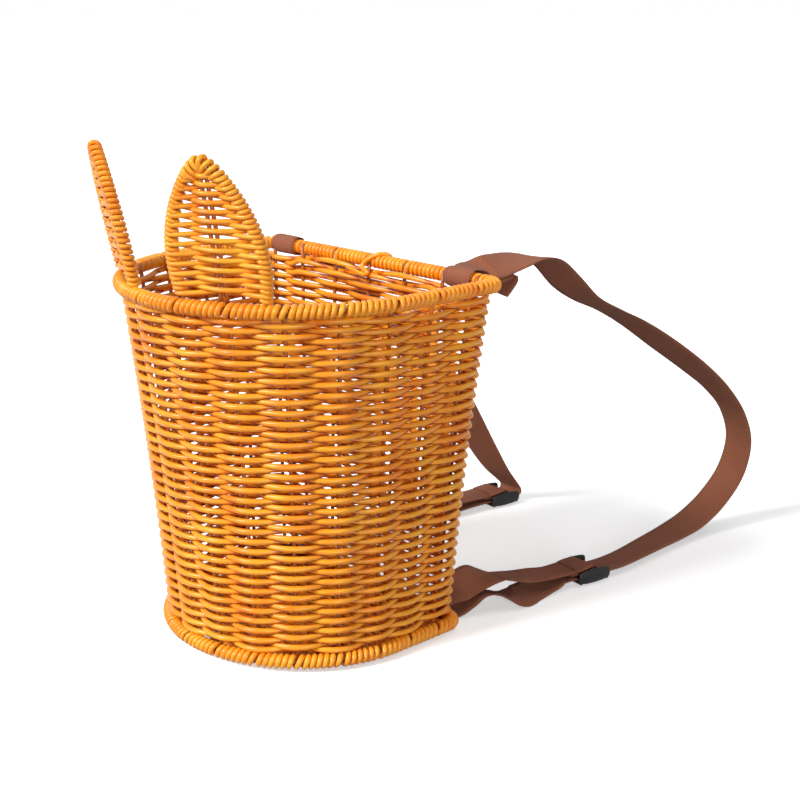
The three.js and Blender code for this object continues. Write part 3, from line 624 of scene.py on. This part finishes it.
def webbing():
    """Woven ribs along the length with a fine slant that turns over from rib to rib, slightly fuzzy."""
    material, start, join = finish("ribbed_webbing", 0.85, {"Sheen Weight": 0.06, "Specular IOR Level": 0.2})
    grid = start.add("ShaderNodeUVMap", {"uv_map": "WebMap"})
    across = start.add("ShaderNodeSeparateXYZ", None, {0: grid}, out=0)
    along = start.add("ShaderNodeSeparateXYZ", None, {0: grid}, out=1)
    fold = start.add("ShaderNodeMath", {"operation": "PINGPONG"}, {0: across, 1: RIB})
    rib = start.add("ShaderNodeMath", {"operation": "SINE"}, {0: across * (math.pi / RIB)})
    rib = rib * rib
    slant = start.add("ShaderNodeMath", {"operation": "SINE"}, {0: (along + fold) * (2 * math.pi / TWILL)})
    fuzz = start.add("ShaderNodeTexNoise", None, {"Vector": grid, "Scale": 1800.0, "Detail": 3.0})
    wash = start.add("ShaderNodeTexNoise", None, {"Vector": grid, "Scale": 45.0, "Detail": 2.0})
    height = 0.5 * rib + 0.3 * slant + 0.5 * fuzz
    bump = start.add("ShaderNodeBump", None, {"Height": height, "Strength": 0.55, "Distance": 0.0004})
    tone = 0.45 * rib + 0.22 * slant + 0.5 * fuzz + 0.2 * wash
    join(Base_Color=tone.blend(WEB_DARK, WEB_LIGHT), Normal=bump)
    return material


def ribbon(name, stations, part=(0, -1)):
    """A flat web along points in millimetres with a roll in degrees, as a thin closed strip, and its
    lines. part is the first and the last of the stations that are kept, where a longer web is cut."""
    line = flowing([(x * MM, y * MM, z * MM, r) for x, y, z, r in stations], WEB_STEP)
    path, roll = line[:, :3], np.radians(line[:, 3])[:, None]
    run = np.gradient(path, axis=0)
    run /= np.linalg.norm(run, axis=1, keepdims=True)
    flat = np.array([1.0, 0, 0]) - run * run[:, :1]
    flat /= np.linalg.norm(flat, axis=1, keepdims=True)
    wide = flat * np.cos(roll) + np.cross(run, flat) * np.sin(roll)
    thick = np.cross(run, wide)
    first, last = (np.linalg.norm(path - np.array(stations[k][:3]) * MM, axis=1).argmin() for k in part)
    path, wide, thick = (a[first:last + 1] for a in (path, wide, thick))
    length = np.concatenate([[0], np.cumsum(np.linalg.norm(np.diff(path, axis=0), axis=1))])
    u = np.linspace(-1, 1, WEB_COLUMNS)
    inset = np.where(np.abs(u) == 1, WEB_EDGE, 1.0)
    section = [(a, t) for a, t in zip(u, inset)] + [(a, -t) for a, t in zip(u[::-1], inset[::-1])]
    count = len(section)
    corners = [path + wide * (WEB_WIDTH / 2 * a) + thick * (WEB_THICK / 2 * t) for a, t in section]
    corners = np.stack(corners, axis=1).reshape(-1, 3)
    faces, grid = [], []
    for r in range(len(path) - 1):
        for c in range(count):
            d = (c + 1) % count
            faces.append((r * count + c, r * count + d, (r + 1) * count + d, (r + 1) * count + c))
            a, b = section[c][0] * WEB_WIDTH / 2, section[d][0] * WEB_WIDTH / 2
            grid += [(a, length[r]), (b, length[r]), (b, length[r + 1]), (a, length[r + 1])]
    last = (len(path) - 1) * count
    faces += [tuple(reversed(range(count))), tuple(range(last, last + count))]
    grid += [(section[c][0] * WEB_WIDTH / 2, 0) for c in reversed(range(count))]
    grid += [(section[c][0] * WEB_WIDTH / 2, length[-1]) for c in range(count)]
    mesh = bpy.data.meshes.new(name)
    mesh.from_pydata(corners, [], faces)
    mesh.uv_layers.new(name="WebMap").data.foreach_set("uv", np.array(grid, np.float32).ravel())
    mesh.polygons.foreach_set("use_smooth", np.ones(len(mesh.polygons), bool))
    mesh.materials.append(web_finish)
    piece = bpy.data.objects.new(name, mesh)
    bpy.context.collection.objects.link(piece)
    return piece, {"path": path, "wide": wide, "up": -thick, "length": length}


def strip(name, stations, part=(0, -1)):
    """A ribbon, and its lines."""
    web, lines = ribbon(name, stations, part)
    return web, lines


def round_bar(x, y, z, first, last):
    """Stations of a web round a wrapped hoop, between two angles in degrees from straight out behind."""
    radius = (ROLL + WEB_GAP + WEB_THICK / 2) / MM
    return [(x, y / MM + radius * math.cos(math.radians(a)), z / MM + radius * math.sin(math.radians(a)), 0)
            for a in np.linspace(first, last, TURN_STEPS + 1)]


def on_run(strap, y):
    """Place in x of a strap's straight run on the floor at a y, in millimetres."""
    end_x, end_y = strap["run_end"]
    return strap["pivot"] + (end_x - strap["pivot"]) * (y - PIVOT) / (end_y - PIVOT)


web_finish = webbing()
shoulder_lines, fold_lines = {}, {}
for side, strap in STRAPS.items():
    pivot, slider_y = strap["pivot"], strap["slider"]
    top = [(pivot + x, PIVOT + y, TOP + z, roll) for x, y, z, roll in strap["tail"]]
    top += round_bar(strap["loop"], rim["back"], rim["z"], UNDER_BAR, strap["leave"])
    top += [(pivot + x, PIVOT + y, TOP + z, roll) for x, y, z, roll in strap["over"]]
    route = [(pivot + x, y, z, roll) for x, y, z, roll in strap["route"]]
    run = [(*strap["run_end"], RUN_Z, 0), (on_run(strap, slider_y), slider_y, RUN_Z, 0)]
    lower_turn = round_bar(strap["anchor"], base["back"], base["z"], UNDER_BAR, OVER_BAR)
    stations = top + route + run + strap["slack"] + lower_turn + strap["rise"] + strap["return"][:1]
    ran = len(top + route)
    slid = ran + 1
    gathered = slid + strap["gather"]
    web, _ = strip(f"{side}_strap_foot", stations, (gathered, -1))
    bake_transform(web)
    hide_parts(f"{side}_bottom_turn", f"{side}_shoulder_web")
    for name, part, still in (("run", (ran, slid), ran), ("slack", (slid, gathered), gathered)):
        web, _ = strip(f"{side}_strap_{name}", stations, part)
        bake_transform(web)
        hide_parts(f"{side}_shoulder_web")
    web, shoulder_lines[side] = strip(f"{side}_strap_shoulder", stations, (0, ran))
    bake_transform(web)
    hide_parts(f"{side}_top_turn", f"{side}_shoulder_web")

    sewn_y = slider_y - SEWN_REACH
    lap = [(on_run(strap, y), y, SEWN_Z, 0) for y in (sewn_y - SEWN_LAP, sewn_y)]
    web, _ = strip(f"{side}_strap_return", strap["return"] + lap)
    on_run(strap, strap["join"]) * MM
    strap["join"] * MM
    on_run(strap, sewn_y) * MM
    sewn_y * MM
    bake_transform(web)
    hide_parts(f"{side}_return_web")

    eye = (MIDDLE_BAR + WEB_THICK / MM) / 2 + FOLD_GAP
    bend = [(slider_y + eye * math.cos(a), MIDDLE_BAR_Z + eye * math.sin(a))
            for a in np.linspace(math.pi / 2, -math.pi / 2, FOLD_STEPS + 1)]
    upper = [(sewn_y + y, MIDDLE_BAR_Z + z) for y, z in FOLD_FLANKS]
    lower = [(sewn_y + y, MIDDLE_BAR_Z - z) for y, z in reversed(FOLD_FLANKS)]
    fold = [(on_run(strap, y), y, z, 0) for y, z in upper + bend + lower]
    web, fold_lines[side] = strip(f"{side}_sewn_fold", fold)
    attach(web, f"{side}_adjuster")
    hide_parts(f"{side}_sewn_end")

# The stitches: two rows of short runs of spun thread across each strap, where its end is sewn to itself.
# The thread is orange at the loop round the rim and the web's brown at the fold round the slider's bar.
THREAD = 0.3 * MM
THREAD_SIDES = 6
THREAD_RINGS = 5
THREAD_STEP = 2.2 * MM
THREAD_GAP = 0.6 * MM
THREAD_ROWS = [0, 1.6 * MM]
THREAD_ORANGE = (0.60, 0.17, 0.03)
THREAD_SHADE = 0.6
LOOP_LENGTH = 60 * MM
FACING_UP = 0.3
FOLD_SEAM = 3 * MM


def thread():
    """Spun orange thread: matt, with a slow change of tone along it."""
    material, start, join = finish("spun_thread", 0.8)
    place = start.add("ShaderNodeTexCoord", out="Object")
    patch = start.add("ShaderNodeTexNoise", None, {"Vector": place, "Scale": 700.0, "Detail": 2.0})
    join(Base_Color=patch.blend(tuple(THREAD_SHADE * c for c in THREAD_ORANGE), THREAD_ORANGE))
    return material


def stitches(name, lines, first, material):
    """Rows of short stitches across the upper face of a web, from a length along it."""
    dashes = []
    lift = WEB_THICK / 2 + THREAD * np.sin(np.linspace(0, np.pi, THREAD_RINGS))[:, None]
    for row in THREAD_ROWS:
        k = int(np.searchsorted(lines["length"], first + row))
        for u in np.arange(-WEB_WIDTH / 2 + THREAD_STEP / 2, WEB_WIDTH / 2 - THREAD_STEP, THREAD_STEP):
            places = np.linspace(u, u + THREAD_STEP - THREAD_GAP, THREAD_RINGS)[:, None]
            dashes.append(lines["path"][k] + lines["wide"][k] * places + lines["up"][k] * lift)
    return strands(name, dashes, THREAD, THREAD_SIDES, material)


thread_finish = thread()
for side, strap in STRAPS.items():
    lines = shoulder_lines[side]
    past_loop = np.argmax((lines["path"][:, 1] > strap["seam"] * MM) & (lines["up"][:, 2] > FACING_UP)
                          & (lines["length"] > LOOP_LENGTH))
    seam = stitches(f"{side}_strap_seam", lines, lines["length"][past_loop], thread_finish)
    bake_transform(seam)
    seam = stitches(f"{side}_fold_seam", fold_lines[side], FOLD_SEAM, web_finish)
    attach(seam, f"{side}_adjuster")

# The sliders: black strap adjusters, each moulded in one piece with two deep rounded side rails and three
# cross bars. The strap's end is sewn round the raised middle bar, and the running web passes under it and
# over the two outer bars, which hold it by friction. A rail's outline is shares of its length and height.
SLIDER_LENGTH = 27 * MM
SLIDER_RAIL = 2.5 * MM
SLIDER_INSIDE = WEB_WIDTH / 2 + 0.6 * MM
SLIDER_LOW = 0.9 * MM
SLIDER_HIGH = 11 * MM
SLIDER_SIDE = [(-1, 0.45), (-0.97, 0.64), (-0.85, 0.82), (-0.5, 0.95), (0, 1), (0.5, 0.95), (0.85, 0.82),
               (0.97, 0.64), (1, 0.45)]
SLIDER_BARS = [(-11.3, 2.7), (0, MIDDLE_BAR_Z), (11.3, 2.7)]
RAIL_SIDES = 32
BAR_SIDES = 16
BAR_RINGS = 5
SLIDER_BLACK = (0.012, 0.012, 0.013)
SLIDER_GREY = (0.030, 0.030, 0.032)


def moulded_black():
    """Black injection-moulded plastic with a fine satin grain."""
    material, start, join = finish("moulded_black", 0.38, {"Specular IOR Level": 0.2})
    place = start.add("ShaderNodeTexCoord", out="Object")
    grain = start.add("ShaderNodeTexNoise", None, {"Vector": place, "Scale": 900.0, "Detail": 2.0})
    patch = start.add("ShaderNodeTexNoise", None, {"Vector": place, "Scale": 120.0, "Detail": 2.0})
    bump = start.add("ShaderNodeBump", None, {"Height": grain, "Strength": 0.12, "Distance": 0.0001})
    join(Base_Color=patch.blend(SLIDER_BLACK, SLIDER_GREY), Roughness=0.32 + 0.14 * grain, Normal=bump)
    return material


slider_finish = moulded_black()
slider_tall = SLIDER_HIGH - SLIDER_LOW
slider_reach = SLIDER_INSIDE + SLIDER_RAIL / 2
rail_sizes = slider_tall / 2 * np.array([size for share, size in SLIDER_SIDE])
narrow = Matrix.Diagonal((SLIDER_RAIL / slider_tall, 1, 1, 1))
raised = Matrix.Translation((0, 0, SLIDER_LOW + slider_tall / 2))
for side, strap in STRAPS.items():
    slider_x, slider_y = on_run(strap, strap["slider"]), strap["slider"]
    heading = math.atan2(on_run(strap, slider_y + 1) - slider_x, 1)
    stand = Matrix.Translation((slider_x * MM, slider_y * MM, 0)) @ Matrix.Rotation(-heading, 4, "Z")
    rail_paths = [[(hand * slider_reach * slider_tall / SLIDER_RAIL, share * SLIDER_LENGTH / 2, 0)
                   for share, size in SLIDER_SIDE] for hand in (-1, 1)]
    rails = strands(f"{side}_slider_frame", rail_paths, rail_sizes, RAIL_SIDES, slider_finish)
    rails.data.transform(raised @ narrow)
    bar_paths = [[(x, y * MM, z * MM) for x in np.linspace(-slider_reach, slider_reach, BAR_RINGS)]
                 for y, z in SLIDER_BARS]
    bars = strands(f"{side}_slider_bars", bar_paths, MIDDLE_BAR / 2 * MM, BAR_SIDES, slider_finish)
    for piece in (rails, bars):
        piece.data.transform(stand)
        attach(piece, f"{side}_adjuster")
        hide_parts(f"{side}_slider")

# The stage: a plain pale floor, an even white surround and three soft lamps, with the camera where the
# photograph was taken, above the front right of the basket. Each lamp has a place, a spread in degrees and
# a strength.
EYE = (0.6901, -0.5719, 0.3950)
AIM = (0.0551, 0.0353, 0.1480)
LENS = 67.1
FLOOR_SIZE = 30
FLOOR_WHITE = (0.97, 0.97, 0.97)
FLOOR_BOUNCE = (0.1, 0.1, 0.1)
FLOOR_GLOW = (0.5, 0.5, 0.5)
SURROUND_LIGHT = 0.03
LAMPS = {"key_lamp": ((-0.25, -1.1, 0.95), 16, 3.7), "top_lamp": ((0.1, 0.3, 1.7), 50, 0.7),
         "side_lamp": ((1.5, -0.6, 0.3), 30, 2.0)}
LAMP_AIM = (0, 0, 0.13)


def seen_rays(start):
    """1 for what the camera sees, straight or mirrored in a piece, and 0 for the light that bounces."""
    camera, glossy, through = (start.add("ShaderNodeLightPath", out=f"Is {kind} Ray")
                               for kind in ("Camera", "Glossy", "Transmission"))
    return start.sum("MAXIMUM", start.sum("MAXIMUM", camera, glossy), through)


def floor_finish():
    """White to the camera, greyer to the light that bounces up, so that the gaps of the weave stay deep."""
    material, start, join = finish("pale_floor", 0.9, {"Specular IOR Level": 0.1, "Emission Strength": 1.0})
    seen = seen_rays(start)
    join(Base_Color=seen.blend(FLOOR_BOUNCE, FLOOR_WHITE), Emission_Color=seen.blend((0, 0, 0), FLOOR_GLOW))
    return material


bpy.ops.mesh.primitive_grid_add(x_subdivisions=4, y_subdivisions=4, size=FLOOR_SIZE)
floor = bpy.context.object
floor.name = "floor"
floor.data.materials.append(floor_finish())


def look_at(thing, spot):
    thing.rotation_euler = (Vector(spot) - thing.location).to_track_quat("-Z", "Y").to_euler()


for name, (spot, spread, power) in LAMPS.items():
    lamp = bpy.data.objects.new(name, bpy.data.lights.new(name, "SUN"))
    lamp.data.angle = math.radians(spread)
    lamp.data.energy = power
    lamp.location = spot
    look_at(lamp, LAMP_AIM)
    bpy.context.collection.objects.link(lamp)

world = bpy.data.worlds.new("surround")
world.use_nodes = True
backdrop = world.node_tree.nodes["Background"]
backdrop.inputs["Color"].default_value = (1, 1, 1, 1)
strength = SURROUND_LIGHT + (1 - SURROUND_LIGHT) * seen_rays(Tint(world.node_tree))
world.node_tree.links.new(strength.socket, backdrop.inputs["Strength"])
bpy.context.scene.world = world

camera = bpy.data.objects.new("camera", bpy.data.cameras.new("camera"))
camera.data.lens = LENS
camera.location = EYE
look_at(camera, AIM)
bpy.context.collection.objects.link(camera)
bpy.context.scene.camera = camera
bpy.context.scene.view_settings.view_transform = "Standard"
